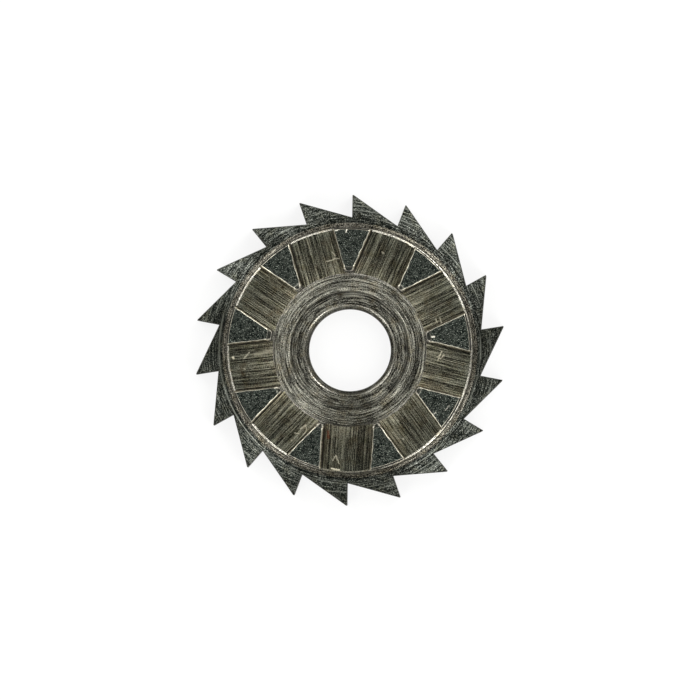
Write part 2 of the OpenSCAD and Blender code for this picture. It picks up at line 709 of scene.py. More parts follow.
top_ring = []
for back_points, _, steep_points in tooth_edges:
    top_ring += back_points + steep_points[::-1]
for i, point in enumerate(top_ring):
    j = (i + 1) % len(top_ring)
    tooth, place = divmod(i, loop_count)
    corners = [point, upper[i], upper[j], top_ring[j]]
    if place == tooth_rows:
        corners += tooth_edges[tooth][1][-2:0:-1]
    add_face(corners, "tooth edge")
join_rings(upper, lower, "flank")
join_rings(lower, bottom, "tooth edge")
print("flanks:", len(upper), "points round the teeth")

# %% Underside
under_radii = (2.2, 1.9, 1.6, 1.3, 1.0)
under_ring = []
for tooth in range(tooth_count):
    turn = tooth * tooth_pitch + root_start
    under_ring.append(bottom[tooth * loop_count])
    for step in range(1, tooth_steps):
        under_ring.append(add_point(inner_root_r, turn + tooth_pitch * step / tooth_steps, 0))
for tooth in range(tooth_count):
    arc = [under_ring[(tooth * tooth_steps + step) % rim_points] for step in range(tooth_steps + 1)]
    tooth_loop = bottom[tooth * loop_count + 1:(tooth + 1) * loop_count]
    add_face(arc + tooth_loop[::-1], "ground")

ring = under_ring
for radius in under_radii:
    inner = rim_ring(radius, 0)
    join_rings(ring, inner, "ground")
    ring = inner
zip_rings(ring, bore_ring, "ground")
print("points:", len(points), "faces:", len(faces))

# %% [markdown]
# A closed surface has two faces at every edge, and they run along it in opposite directions. A
# count of the edges shows at once if a ring was missed or joined the wrong way round.

# %% Is it closed?
edge_uses = {}
for face in faces:
    for edge in zip(face, face[1:] + face[:1]):
        edge_uses[edge] = edge_uses.get(edge, 0) + 1
unpaired = [edge for edge, uses in edge_uses.items() if uses != 1 or edge_uses.get(edge[::-1]) != 1]
triangles = sum(len(face) - 2 for face in faces)
print("edges without a partner:", len(unpaired), "triangles:", triangles)

# %% [markdown]
# The points and faces become one mesh, because the real wheel is one piece. Smooth shading hides
# the facets, and edges that turn sharply stay sharp. The object rides on the wheel's body and
# takes the place of the solid, which keeps its own plain mesh for the simulation.

# %% One object
sharp_from = math.radians(40)
finish_names = list(dict.fromkeys(face_finish))
wheel_mesh = bpy.data.meshes.new("column_wheel_steel")
wheel_mesh.from_pydata([[value * MM for value in point] for point in points], [], faces)
lay_map = wheel_mesh.uv_layers.new(name="lay")
lay_places = [lay.get(loop.vertex_index, (0.0, 0.0)) for loop in wheel_mesh.loops]
lay_map.data.foreach_set("uv", [value for place in lay_places for value in place])
slots = [finish_names.index(name) for name in face_finish]
wheel_mesh.polygons.foreach_set("material_index", slots)
wheel_mesh.shade_smooth()
wheel_mesh.set_sharp_from_angle(angle=sharp_from)

wheel = bpy.data.objects.new("column_wheel_steel", wheel_mesh)
bpy.context.scene.collection.objects.link(wheel)
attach(wheel, "root")
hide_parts("column_wheel")
print("finishes:", finish_names)

# %% [markdown]
# ## Materials
# All of it is one steel, so every material is a metal, and only what the tools did to it differs.
# Colours are written as the hex codes that they show under plain light, and one function turns
# them into the linear values that Blender works with. Another adds a node with its settings and
# links, so that a material reads as a short list. A Mix node has several inputs of one name, so
# inputs go by number there: 0 is the share, 6 and 7 are the two colours, and output 2 is the
# result. It can lay one colour over another, or multiply them, as a tinted film does. A tint is
# a factor for red, green and blue, so it may be over 1. Tool lines stretch a highlight across
# them, and a quarter turn of the shader's anisotropy does that.

# %% Colour and nodes
def linear(code):
    """Linear colour of an sRGB hex code, with full alpha."""
    values = [int(code[i:i + 2], 16) / 255 for i in (1, 3, 5)]
    return [v / 12.92 if v <= 0.04045 else ((v + 0.055) / 1.055) ** 2.4 for v in values] + [1.0]


def add_node(tree, kind, inputs=None, stops=(), **settings):
    """A new node with its settings, its ramp's stops, and its inputs set or linked."""
    node = tree.nodes.new(kind)
    for name, value in settings.items():
        setattr(node, name, value)
    for i, (place, colour) in enumerate(stops):
        elements = node.color_ramp.elements
        stop = elements[i] if i < len(elements) else elements.new(place)
        stop.position = place
        stop.color = colour
    for name, value in (inputs or {}).items():
        socket = node.inputs[name]
        if isinstance(value, bpy.types.NodeSocket):
            tree.links.new(value, socket)
        else:
            socket.default_value = value
    return node


# %% Bare steel
quarter_turn = 0.25


def start_steel(name, shine=0.0):
    """A bare steel: its material, tree and shader. A metal keeps the default index of refraction."""
    material = bpy.data.materials.new(name)
    material.use_nodes = True
    tree = material.node_tree
    tree.nodes.clear()
    metal = {"Metallic": 1.0, "Anisotropic": shine, "Anisotropic Rotation": quarter_turn}
    shader = add_node(tree, "ShaderNodeBsdfPrincipled", metal)
    add_node(tree, "ShaderNodeOutputMaterial", {"Surface": shader.outputs[0]})
    return material, tree, shader


# %% [markdown]
# Patterns need a place that fits the tool. For a turned face that is the distance from the axis
# and the direction, so a pattern can be narrow across the lathe's lines and long along them. For
# a milled slot it is the length and the width of the slot, which the mesh carries in its map. A
# lapped face has no direction, so the plain place on the wheel does. All are in millimetres, so
# the size of a pattern is the size of the marks.

# %% Places for patterns
def plain_place(tree):
    """Place on the wheel, in mm."""
    metres = {0: add_node(tree, "ShaderNodeTexCoord").outputs["Object"], "Scale": 1 / MM}
    return add_node(tree, "ShaderNodeVectorMath", metres, operation="SCALE").outputs[0]


def flat_place(tree, place):
    """A place without its height."""
    both = {0: place, 1: (1, 1, 0)}
    return add_node(tree, "ShaderNodeVectorMath", both, operation="MULTIPLY").outputs[0]


def turned_place(tree, climb):
    """Place as a lathe sees it: its travel in mm, and the direction. Height counts climb times."""
    place = plain_place(tree)
    flat = flat_place(tree, place)
    radius = add_node(tree, "ShaderNodeVectorMath", {0: flat}, operation="LENGTH").outputs["Value"]
    facing = add_node(tree, "ShaderNodeVectorMath", {0: flat}, operation="NORMALIZE").outputs[0]
    height = add_node(tree, "ShaderNodeSeparateXYZ", {0: place}).outputs[2]
    climbed = {0: height, 1: climb, 2: radius}
    travel = add_node(tree, "ShaderNodeMath", climbed, operation="MULTIPLY_ADD").outputs[0]
    x, y, _ = add_node(tree, "ShaderNodeSeparateXYZ", {0: facing}).outputs
    return add_node(tree, "ShaderNodeCombineXYZ", {0: travel, 1: x, 2: y}).outputs[0], radius


# %% [markdown]
# A pattern is noise, cut between two levels that lie close together, so that it reads as crisp
# marks. The real lines and grains are some thousandths of a millimetre wide, too fine to show, so
# they are drawn as coarse as a pixel of the photograph, 0.018 mm. One pattern drives three things:
# the colour, a little relief, and the gloss, because what stands high was rubbed smooth.

# %% Patterns
noise_roughness = 0.6


def pattern(tree, place, sizes, low, high, detail=1.0, shift=0.0):
    """Random marks of the given sizes: 0 where the noise is below low, and 1 above high.

    A shift takes another part of the noise, so that two patterns don't repeat each other.
    """
    moved = {"Vector": place, "Location": [shift] * 3, "Scale": [1 / size for size in sizes]}
    vector = add_node(tree, "ShaderNodeMapping", moved).outputs[0]
    cloud = {"Vector": vector, "Scale": 1.0, "Detail": detail, "Roughness": noise_roughness}
    value = add_node(tree, "ShaderNodeTexNoise", cloud).outputs[0]
    return add_node(tree, "ShaderNodeMapRange", {"Value": value, 1: low, 2: high}).outputs[0]


def weigh(tree, parts):
    """Sum of values, each times its weight."""
    total = 0.0
    for value, weight in parts:
        step = {0: value, 1: weight, 2: total}
        total = add_node(tree, "ShaderNodeMath", step, operation="MULTIPLY_ADD").outputs[0]
    return total


# %% Films and relief
covering = {"data_type": "RGBA", "blend_type": "MIX"}
tinting = {"data_type": "RGBA", "blend_type": "MULTIPLY"}
film_patch = (0.16, 0.16, 0.16)
film_cut = (0.48, 0.75)
film_detail = 2.0


def stain(tree, colour, code, amount, shift=0.0):
    """The colour under soft patches of a tinted film, such as dried oil or a breath of rust."""
    patches = pattern(tree, plain_place(tree), film_patch, *film_cut, film_detail, shift)
    thinned = {0: patches, 1: amount}
    share = add_node(tree, "ShaderNodeMath", thinned, operation="MULTIPLY").outputs[0]
    both = {0: share, 6: colour, 7: linear(code)}
    return add_node(tree, "ShaderNodeMix", both, **tinting).outputs[2]


def relief(tree, shader, share, depth, smooth, rough):
    """Depth in mm and roughness that follow a pattern: high is smooth, and low is rough."""
    raised = {"Height": share, "Strength": 1.0, "Distance": depth * MM}
    tree.links.new(add_node(tree, "ShaderNodeBump", raised).outputs[0], shader.inputs["Normal"])
    gloss = add_node(tree, "ShaderNodeMapRange", {"Value": share, 3: rough, 4: smooth}).outputs[0]
    tree.links.new(gloss, shader.inputs["Roughness"])


# %% [markdown]
# Years of use left their marks: scratches and a knocked edge in the slots, bright spots on the
# tips, a breath of rust. Each mark is a short stroke, and a spot is a very short one. Its two
# ends, its width and its strength were read off the photograph. The pixels are first turned into
# millimetres on the wheel. A point near a stroke then gets a share, which falls from the stroke's
# strength to 0 at its border. A little noise shakes the place, because no scratch is straight.

# %% Where the marks are
floor_strokes = (
    ((332.2, 252.1), (334.8, 255.7), 1.1, 0.8), ((326.6, 261.3), (332.2, 260.3), 1.0, 0.8),
    ((332.2, 260.3), (334.8, 258.3), 1.0, 0.8), ((335.8, 258.8), (339.4, 258.3), 1.0, 0.7),
    ((382.6, 252.5), (383.4, 253.1), 2.0, 0.5), ((435.3, 319.0), (437.3, 322.0), 1.0, 0.7),
    ((439.9, 318.0), (441.9, 324.6), 1.1, 0.75), ((441.4, 351.6), (437.9, 360.3), 1.1, 0.95),
    ((444.0, 354.7), (440.4, 358.8), 1.0, 0.8), ((436.8, 356.7), (440.9, 355.2), 0.9, 0.7),
    ((402.8, 438.6), (403.6, 439.2), 1.5, 0.5), ((332.8, 460.3), (335.8, 455.2), 1.0, 0.55),
    ((335.8, 455.2), (338.9, 463.4), 1.0, 0.55), ((331.7, 468.5), (339.4, 470.0), 1.3, 1.0),
    ((294.5, 432.8), (299.6, 433.8), 1.0, 0.7), ((300.6, 428.7), (305.7, 425.1), 1.1, 0.7),
    ((305.7, 425.1), (306.7, 429.7), 1.1, 0.7), ((306.7, 429.7), (303.2, 434.8), 1.1, 0.5),
    ((291.0, 440.0), (291.8, 440.8), 1.3, 0.6), ((244.0, 358.3), (249.6, 352.1), 1.0, 0.6),
    ((232.9, 357.4), (233.7, 358.2), 2.0, 0.9), ((244.3, 368.8), (245.1, 369.2), 1.2, 0.5),
    ((256.0, 354.5), (271.0, 350.5), 4.5, 0.22),
)
top_strokes = (
    ((448.6, 405.2), (445.0, 410.3), 0.8, 0.35), ((435.3, 411.8), (433.3, 414.4), 0.9, 0.5),
    ((430.2, 337.3), (433.8, 336.8), 1.3, 0.9), ((335.8, 231.2), (338.9, 230.2), 1.0, 0.8),
    ((347.0, 228.7), (346.0, 232.8), 1.0, 0.8),
)
rust_strokes = (
    ((328.0, 431.5), (328.5, 438.0), 2.2, 0.7),
)
pit_strokes = (
    ((241.4, 372.0), (244.0, 375.6), 1.2, 0.6), ((282.3, 287.0), (282.9, 287.6), 1.8, 0.9),
)
print("marks:", len(floor_strokes), "in the slots,", len(top_strokes), "on the columns")

# %% From the picture to the wheel
def on_wheel(spot, height):
    """Place on the wheel of a pixel of the photograph, for a surface at a height, in mm."""
    right = (spot[0] - picture_side / 2 - wheel_aside[0]) * mm_per_pixel
    up = (picture_side / 2 - wheel_aside[1] - spot[1]) * mm_per_pixel
    right += camera_lean[0] * (height - plate_t)
    up += camera_lean[1] * (height - plate_t)
    return picture_right * right + picture_up * up


# %% One stroke
stroke_core = 0.3


def stroke(tree, flat, start, run, reach, strength):
    """Share of a place that lies on one stroke, by its distance from the stroke's nearest point."""
    steps = {0: flat, 1: start}
    from_start = add_node(tree, "ShaderNodeVectorMath", steps, operation="SUBTRACT").outputs[0]
    steps = {0: from_start, 1: run / run.length_squared}
    along = add_node(tree, "ShaderNodeVectorMath", steps, operation="DOT_PRODUCT").outputs["Value"]
    along = add_node(tree, "ShaderNodeClamp", {0: along}).outputs[0]
    steps = {0: run, "Scale": along}
    nearest = add_node(tree, "ShaderNodeVectorMath", steps, operation="SCALE").outputs[0]
    steps = {0: from_start, 1: nearest}
    gap = add_node(tree, "ShaderNodeVectorMath", steps, operation="DISTANCE").outputs["Value"]
    limits = {"Value": gap, 1: reach * stroke_core, 2: reach, 3: strength, 4: 0.0}
    return add_node(tree, "ShaderNodeMapRange", limits).outputs[0]


# %% All strokes of a kind
stroke_reach = 0.75
shake = Vector((0.04, 0.04, 0))
shakes_per_mm = 40


def strokes(tree, marks, height):
    """Share of a place that lies on one of the marks, from 0 to 1."""
    place = plain_place(tree)
    cloud = {"Vector": place, "Scale": shakes_per_mm, "Detail": 1.0}
    uneven = add_node(tree, "ShaderNodeTexNoise", cloud).outputs[1]
    shaken = {0: uneven, 1: shake, 2: flat_place(tree, place)}
    flat = add_node(tree, "ShaderNodeVectorMath", shaken, operation="MULTIPLY_ADD").outputs[0]
    total = 0.0
    for start, end, width, strength in marks:
        start, end = on_wheel(start, height), on_wheel(end, height)
        reach = stroke_reach * width * mm_per_pixel
        share = stroke(tree, flat, start + shake / 2, end - start, reach, strength)
        total = add_node(tree, "ShaderNodeMath", {0: share, 1: total}, operation="MAXIMUM").outputs[0]
    return total


# %% [markdown]
# Turned steel shows fine concentric lines. Each line is a tiny mirror across the radius, so the
# face lights up in the directions of the lamps and stays dark between them. Anisotropy does that,
# with a tangent that runs round the axis. Short lines, long lines and grain make the pattern, and
# a few deeper scores shine as arcs. Rings are lighter or darker by radius, from a list of tones:
# partly rings where the tool dwelt or a lever has rubbed, and partly painted highlights on edges
# and ridges and painted shade in grooves and corners. Painted shade also darkens some directions
# between the lamps, and most of all the bottom of the picture.

# %% Lines of the lathe
short_line = 0.016
long_line = 0.017
grain_size = (0.018, 0.018, 0.018)
score_size = (0.022, 0.6, 0.6)
short_share = 0.6
long_share = 0.4
line_cut = 0.03
grain_cut = 0.04
score_cut = (0.67, 0.73)
long_shift = 11.0
score_shift = 37.0


def turned_pattern(tree, place, runs, lines, level, arcs):
    """Lines of two lengths round the axis, with grain between them and a few bright arcs."""
    short, long = runs
    line_levels = (level - line_cut, level + line_cut)
    grain_levels = (level - grain_cut, level + grain_cut)
    share = weigh(tree, [
        (pattern(tree, place, (short_line, short, short), *line_levels), lines * short_share),
        (pattern(tree, place, (long_line, long, long), *line_levels, shift=long_shift),
         lines * long_share),
        (pattern(tree, plain_place(tree), grain_size, *grain_levels), 1 - lines),
    ])
    deep = {0: pattern(tree, place, score_size, *score_cut, detail=0.0, shift=score_shift), 1: arcs}
    scores = add_node(tree, "ShaderNodeMath", deep, operation="MULTIPLY").outputs[0]
    return add_node(tree, "ShaderNodeMath", {0: share, 1: scores}, operation="MAXIMUM").outputs[0]


# %% Painted shade by direction
# Painted shade: a dark tint laid on by direction. By default it darkens the bottom of the picture.
painted_shade_tint = (0.25, 0.25, 0.22, 1)
bottom_painted_shade = ((270, 30, 0.55),)


def paint_shade_by_direction(tree, colour, place, painted_shade):
    """The colour, with painted shade in some directions of the picture: each has a half width and an
    amount.
    """
    for direction, half_width, amount in painted_shade:
        turn = math.radians(direction) - wheel_turn
        facing = {0: place, 1: (0, math.cos(turn), math.sin(turn))}
        near = add_node(tree, "ShaderNodeVectorMath", facing, operation="DOT_PRODUCT").outputs["Value"]
        border = math.cos(math.radians(half_width))
        limits = {"Value": near, 1: border, 2: 1.0, 4: amount}
        share = add_node(tree, "ShaderNodeMapRange", limits).outputs[0]
        both = {0: share, 6: colour, 7: painted_shade_tint}
        colour = add_node(tree, "ShaderNodeMix", both, **tinting).outputs[2]
    return colour


# %% Turned steel
turned_relief = (0.002, 0.3, 0.42)
turned_film = 0.6


def turned_steel(name, dark, light, film, tones, runs, lines, shine, contrast=1.5, level=0.52, climb=0.0,
                 painted_shade=bottom_painted_shade, arcs=0.0):
    """Steel from the lathe. runs are the lengths of its lines in mm, and lines is their share."""
    material, tree, shader = start_steel(name, shine)
    place, radius = turned_place(tree, climb)
    start, end = tones[0][0], tones[-1][0]
    turns = [run / (start + end) * 2 for run in runs]
    share = turned_pattern(tree, place, turns, lines, level, arcs)
    relief(tree, shader, share, *turned_relief)
    share = add_node(tree, "ShaderNodeMath", {0: share, 1: contrast}, operation="POWER").outputs[0]
    both = {0: share, 6: linear(dark), 7: linear(light)}
    colour = add_node(tree, "ShaderNodeMix", both, **covering).outputs[2]
    reach = add_node(tree, "ShaderNodeMapRange", {"Value": radius, 1: start, 2: end}).outputs[0]
    stops = [((r - start) / (end - start), [tone] * 3 + [1.0]) for r, tone in tones]
    ramp = add_node(tree, "ShaderNodeValToRGB", {0: reach}, stops=stops).outputs[0]
    both = {0: 1.0, 6: colour, 7: ramp}
    colour = add_node(tree, "ShaderNodeMix", both, **tinting).outputs[2]
    colour = stain(tree, colour, film, turned_film)
    colour = paint_shade_by_direction(tree, colour, place, painted_shade)
    tree.links.new(colour, shader.inputs["Base Color"])
    tangent = add_node(tree, "ShaderNodeTangent", direction_type="RADIAL", axis="Z").outputs[0]
    tree.links.new(tangent, shader.inputs["Tangent"])
    return material


# %% [markdown]
# The lathe worked seven surfaces, and use has treated each in its own way. The tones were matched
# to the photograph ring by ring, and the painted shade to its dark directions.

# %% Tones and grime by surface
# Hub tones by radius: partly rings of tone, and partly painted highlights at the countersink, the seat's
# bevel and beside the hub's outer wall, with painted shade beside the relief groove.
hub_tones = (
    (0.76, 0.25), (0.79, 0.38), (0.81, 0.6), (0.845, 0.34), (0.855, 0.3), (0.9, 0.36),
    (0.99, 0.38), (1.008, 0.57), (1.03, 0.36), (1.065, 0.34), (1.085, 0.55), (1.12, 0.74),
    (1.15, 0.6), (1.165, 0.51), (1.21, 0.46), (1.256, 0.51), (1.284, 0.41), (1.32, 0.65),
    (1.348, 0.52), (1.362, 0.6), (1.373, 1.0), (1.388, 1.0), (1.4, 0.55),
)
# Plate tones by radius: partly rings of tone, and partly a painted highlight on the ridge between the
# two deeper lathe lines, with painted shade in them. The tips are darker.
plate_tones = (
    (2.34, 0.55), (2.352, 0.6), (2.366, 0.45), (2.381, 0.55), (2.393, 1.0), (2.406, 0.6),
    (2.42, 0.5), (2.435, 0.65), (2.45, 0.5), (2.47, 0.75), (2.72, 0.7), (2.765, 0.9),
    (2.8, 0.5), (2.85, 0.25),
)
cove_tones = ((2.25, 0.9), (2.275, 0.65), (2.3, 0.45), (2.34, 0.4))
ring_tones = ((1.37, 0.5), (1.42, 0.5), (2.2, 0.9), (2.3, 0.9))
lip_tones = ((0.8, 0.58), (0.9, 0.58))
drum_tones = ((2.2, 1.0), (2.26, 1.0))
bore_tones = ((0.7, 1.0), (0.8, 1.0))
# Painted shade for each surface: direction in the picture, half width and amount. Most of these lie
# between the lamps, where the lamps leave the rings dark.
plate_painted_shade = ((270, 30, 0.55), (0, 28, 0.55), (90, 25, 0.15), (178, 30, 0.6))
cove_painted_shade = ((270, 35, 0.6), (0, 25, 0.4), (180, 25, 0.4))
ring_painted_shade = ((270, 35, 0.8), (270, 20, 0.6), (0, 25, 0.5), (180, 25, 0.5))
lip_painted_shade = ((270, 35, 0.7), (0, 32, 0.65), (90, 32, 0.65), (180, 32, 0.65))

# %% Turned surfaces
# Hub, seat and countersink: broken rings from black to pale grey, browned by oil.
hub_steel = turned_steel(
    "turned_steel_hub", "#0b0c0a", "#e8e6d3", "#c4b088", hub_tones, runs=(0.3, 1.8), lines=0.6,
    shine=0.65, contrast=2.1, climb=1.7, arcs=0.75)
# Faced ratchet plate: darker and cooler, grainy, with long thin arcs over the teeth.
plate_steel = turned_steel(
    "turned_steel_plate", "#151a17", "#ced2c5", "#d8d0b4", plate_tones, runs=(0.2, 5.0), lines=0.5,
    shine=0.75, contrast=2.0, level=0.57, climb=1.7, painted_shade=plate_painted_shade, arcs=0.6)
# Hollow round at the drum's foot, where oil collects: brownish and soft, darker towards the plate.
cove_steel = turned_steel(
    "turned_steel_cove", "#0f0f0b", "#ece6d2", "#c6bc9a", cove_tones, runs=(0.3, 1.5), lines=0.4,
    shine=0.8, contrast=2.1, painted_shade=cove_painted_shade)
# Edges of the drum's foot and of the hub, rubbed by the levers: a nearly white, broken line, with
# painted shade between the lamps.
ring_steel = turned_steel(
    "worn_steel_ring", "#302e27", "#fffbec", "#d8c8a0", ring_tones, runs=(0.3552, 1.7758), lines=0.4,
    shine=0.75, contrast=1.7, level=0.48, painted_shade=ring_painted_shade)
# Lip of the countersink, rubbed by the screw: the same bright line, with painted shade at four
# places between the lamps.
lip_steel = turned_steel(
    "worn_steel_bore_edge", "#302e27", "#fffbec", "#d8c8a0", lip_tones, runs=(0.3, 1.5), lines=0.4,
    shine=0.75, contrast=1.7, level=0.48, painted_shade=lip_painted_shade)
# Outer wall of the drum, seen only from the side: even grey lines round the wheel.
drum_steel = turned_steel(
    "turned_steel_drum", "#3a3a34", "#7c7a70", "#c8b48e", drum_tones, runs=(0.6, 3.0), lines=0.85,
    shine=0.6, climb=1.0)
# Wall of the bore, burnished by the screw: the same lines, a little paler.
bore_steel = turned_steel(
    "turned_steel_bore", "#3a3a34", "#8a887c", "#c8b48e", bore_tones, runs=(0.4, 2.0), lines=0.85,
    shine=0.6, climb=1.0)
turned = (hub_steel, plate_steel, cove_steel, ring_steel, lip_steel, drum_steel, bore_steel)
print("turned steel:", [steel.name for steel in turned])

# %% [markdown]
# Slot floors and walls are milled: straight streaks along the cutter's path, from nearly black to
# a warm grey, with a little brown where oil has dried. The floors darken outwards and differ from
# slot to slot, as the cutter lost its edge. Along one wall a warm painted light lifts the shade
# that the columns cast there. The streaks follow the map that the mesh carries, and so does the
# tangent of the shine. Only the floors bear marks.

# %% Streaks of the cutter
long_streak = (3.0, 0.017, 1)
short_streak = (0.4, 0.017, 1)
broad_streak = (2.5, 0.06, 1)
streak_cut = (0.49, 0.54)
broad_streak_cut = (0.44, 0.56)
floor_grain_cut = (0.48, 0.56)
short_streak_shift = 9.0
broad_streak_shift = 17.0
streak_weights = (0.34, 0.26, 0.05, 0.35)


def milled_pattern(tree, place):
    """Long and short streaks along the cutter's path, a few broad ones, and grain."""
    kinds = (
        pattern(tree, place, long_streak, *streak_cut),
        pattern(tree, place, short_streak, *streak_cut, shift=short_streak_shift),
        pattern(tree, place, broad_streak, *broad_streak_cut, shift=broad_streak_shift),
        pattern(tree, plain_place(tree), grain_size, *floor_grain_cut),
    )
    return weigh(tree, zip(kinds, streak_weights))


# %% Shades of the slots
slot_tones = (0.84, 0.72, 0.76, 1.0, 0.72, 0.98, 0.53, 0.86, 0.9)
fade_from, fade_to = 1.3, 2.2
fade_tint = (0.48, 0.51, 0.53, 1)
# Painted light along one wall of each slot, against the shade that the columns cast: its width, share
# and tint.
wall_light_w = 0.16
wall_light_share = 0.35
wall_light_tint = (1.45, 1.3, 1.1, 1)


def slot_shades(tree, colour, place):
    """The colour, darker outwards, with a warm painted light along one wall, and a tone of its own in
    each slot.
    """
    along, lane, _ = add_node(tree, "ShaderNodeSeparateXYZ", {0: place}).outputs
    limits = {"Value": along, 1: fade_from, 2: fade_to}
    fade = add_node(tree, "ShaderNodeMapRange", limits).outputs[0]
    both = {0: fade, 6: colour, 7: fade_tint}
    colour = add_node(tree, "ShaderNodeMix", both, **tinting).outputs[2]
    half_lane = lane_pitch / 2
    wrapped = {0: lane, 1: half_lane, 2: -half_lane}
    across = add_node(tree, "ShaderNodeMath", wrapped, operation="WRAP").outputs[0]
    # Painted light, a little warm, along the low wall of each slot.
    wall = slot_offset - slot_w / 2
    limits = {"Value": across, 1: wall, 2: wall + wall_light_w, 3: wall_light_share, 4: 0.0}
    wall_light = add_node(tree, "ShaderNodeMapRange", limits).outputs[0]
    both = {0: wall_light, 6: colour, 7: wall_light_tint}
    colour = add_node(tree, "ShaderNodeMix", both, **tinting).outputs[2]
    limits = {"Value": lane, 1: -half_lane, 2: lane_pitch * column_count - half_lane}
    count = add_node(tree, "ShaderNodeMapRange", limits).outputs[0]
    stops = [(slot / column_count, [tone] * 3 + [1.0]) for slot, tone in enumerate(slot_tones)]
    steps = add_node(tree, "ShaderNodeValToRGB", {0: count}, stops=stops)
    steps.color_ramp.interpolation = "CONSTANT"
    both = {0: 1.0, 6: colour, 7: steps.outputs[0]}
    return add_node(tree, "ShaderNodeMix", both, **tinting).outputs[2]


# %% Milled steel
milled_shine = 0.6
milled_contrast = 1.7
milled_relief = (0.002, 0.34, 0.46)
milled_film = 0.45
brown_oil = "#b8946a"
green_oil = "#a8a878"
green_shift = 30.0
marks_on_floors = (
    (rust_strokes, "#5c2c1a"),
    (pit_strokes, "#2b2117"),
    (floor_strokes, "#c9c3ab"),
)


def milled_steel(name, dark, light, marks=()):
    """Steel from a milling cutter, streaked along its path. marks are strokes and their colours."""
    material, tree, shader = start_steel(name, milled_shine)
    place = add_node(tree, "ShaderNodeUVMap", uv_map="lay").outputs[0]
    share = milled_pattern(tree, place)
    relief(tree, shader, share, *milled_relief)
    bent = {0: share, 1: milled_contrast}
    share = add_node(tree, "ShaderNodeMath", bent, operation="POWER").outputs[0]
    both = {0: share, 6: linear(dark), 7: linear(light)}
    colour = add_node(tree, "ShaderNodeMix", both, **covering).outputs[2]
    colour = slot_shades(tree, colour, place)
    colour = stain(tree, colour, brown_oil, milled_film)
    colour = stain(tree, colour, green_oil, milled_film, green_shift)
    for kind, code in marks:
        both = {0: strokes(tree, kind, floor_z), 6: colour, 7: linear(code)}
        colour = add_node(tree, "ShaderNodeMix", both, **covering).outputs[2]
    tree.links.new(colour, shader.inputs["Base Color"])
    tangent = add_node(tree, "ShaderNodeTangent", direction_type="UV_MAP", uv_map="lay").outputs[0]
    tree.links.new(tangent, shader.inputs["Tangent"])
    return material


# %% Milled surfaces
# Floors of the slots: black and warm grey streaks, with the scratches, pits and rust of use.
floor_steel = milled_steel("milled_steel_floor", "#060605", "#cac6ac", marks_on_floors)
# Walls of the slots, seen only from the side: the same streaks, in even greys.
wall_steel = milled_steel("milled_steel_wall", "#22221d", "#6f6c5f")
print("milled steel:", [steel.name for steel in (floor_steel, wall_steel)])

# %% [markdown]
# The tops of the columns were lapped on a plate with fine grit. That leaves no direction at all:
# a dark, even grey with a dust of tiny bright specks. The worn edges are the opposite, rubbed
# bright by the levers that ride over them. What is left is cut or ground steel with a fine grain,
# stretched along the way that the tool went. One function makes them all.

# %% Grained steel
fine_weight = 0.88
broad_weight = 0.12
broad_times = 3
broad_cut = (0.35, 0.7)
broad_detail = 2.0
grain_depth = 0.001
duller = 0.1
rubbed_steel = "#d9d5c6"


def grained_steel(name, dark, light, roughness, low=0.42, high=0.75, size=0.02, stretch=(1, 1, 1),
                  marks=()):
    """Steel with a fine grain, of a size in mm and stretched along an axis. marks are bright."""
    material, tree, shader = start_steel(name)
    place = plain_place(tree)
    sizes = [size * times for times in stretch]
    broad_sizes = [size * times * broad_times for times in stretch]
    share = weigh(tree, [
        (pattern(tree, place, sizes, low, high), fine_weight),
        (pattern(tree, place, broad_sizes, *broad_cut, broad_detail), broad_weight),
    ])
    relief(tree, shader, share, grain_depth, roughness, roughness + duller)
    both = {0: share, 6: linear(dark), 7: linear(light)}
    colour = add_node(tree, "ShaderNodeMix", both, **covering).outputs[2]
    if marks:
        both = {0: strokes(tree, marks, top_z), 6: colour, 7: linear(rubbed_steel)}
        colour = add_node(tree, "ShaderNodeMix", both, **covering).outputs[2]
    tree.links.new(colour, shader.inputs["Base Color"])
    return material


# %% Lapped, worn and ground surfaces
# Lapped tops: nearly black, with sparse specks where single grains of grit bit deeper.
top_steel = grained_steel(
    "lapped_steel_top", "#0a0f0d", "#8c9287", roughness=0.28, low=0.62, high=0.7, size=0.017,
    marks=top_strokes)
# Turned bevel on the inner tips, and the thin line where it meets the top.
tip_steel = grained_steel("turned_steel_tip_bevel", "#1c1f1d", "#57584f", roughness=0.3)
line_steel = grained_steel("worn_steel_tip_line", "#2f302c", "#8a887c", roughness=0.3)
# Edges that the levers ride over: polished by use, so they flash. Below them the bevel stays dull.
edge_steel = grained_steel(
    "worn_steel_edge", "#66635a", "#b3af9e", roughness=0.22, low=0.3, high=0.65, size=0.1)
bevel_steel = grained_steel(
    "worn_steel_bevel", "#3a372c", "#7d7663", roughness=0.35, low=0.4, high=0.65, size=0.03)
# The same edges at the very tips, rubbed most of all: paler.
tip_edge_steel = grained_steel(
    "worn_steel_tip_edge", "#a09c8c", "#e6e0cf", roughness=0.22, low=0.3, high=0.65, size=0.1)
# Bevel on the columns' outer edge: painted shade keeps it dark.
shaded_outer_bevel_steel = grained_steel(
    "turned_steel_outer_bevel", "#0d0d0b", "#2e2d27", roughness=0.4)
# Flanks of the teeth, shaped by a cutter that ran from top to bottom, and their broken edges.
tooth_edge_steel = grained_steel("worn_steel_tooth_edge", "#2c2d2a", "#6f6e66", roughness=0.4)
flank_steel = grained_steel(
    "cut_steel_flank", "#3a3b36", "#6e6c63", roughness=0.42, size=0.015, stretch=(1, 1, 30))
# Ground underside: even grey, with straight scratches one way.
ground_steel = grained_steel(
    "ground_steel_underside", "#45453f", "#716f68", roughness=0.4, stretch=(1, 60, 1))
grained = (top_steel, tip_steel, line_steel, edge_steel, bevel_steel, tip_edge_steel,
           shaded_outer_bevel_steel, tooth_edge_steel, flank_steel, ground_steel)
print("grained steel:", [steel.name for steel in grained])

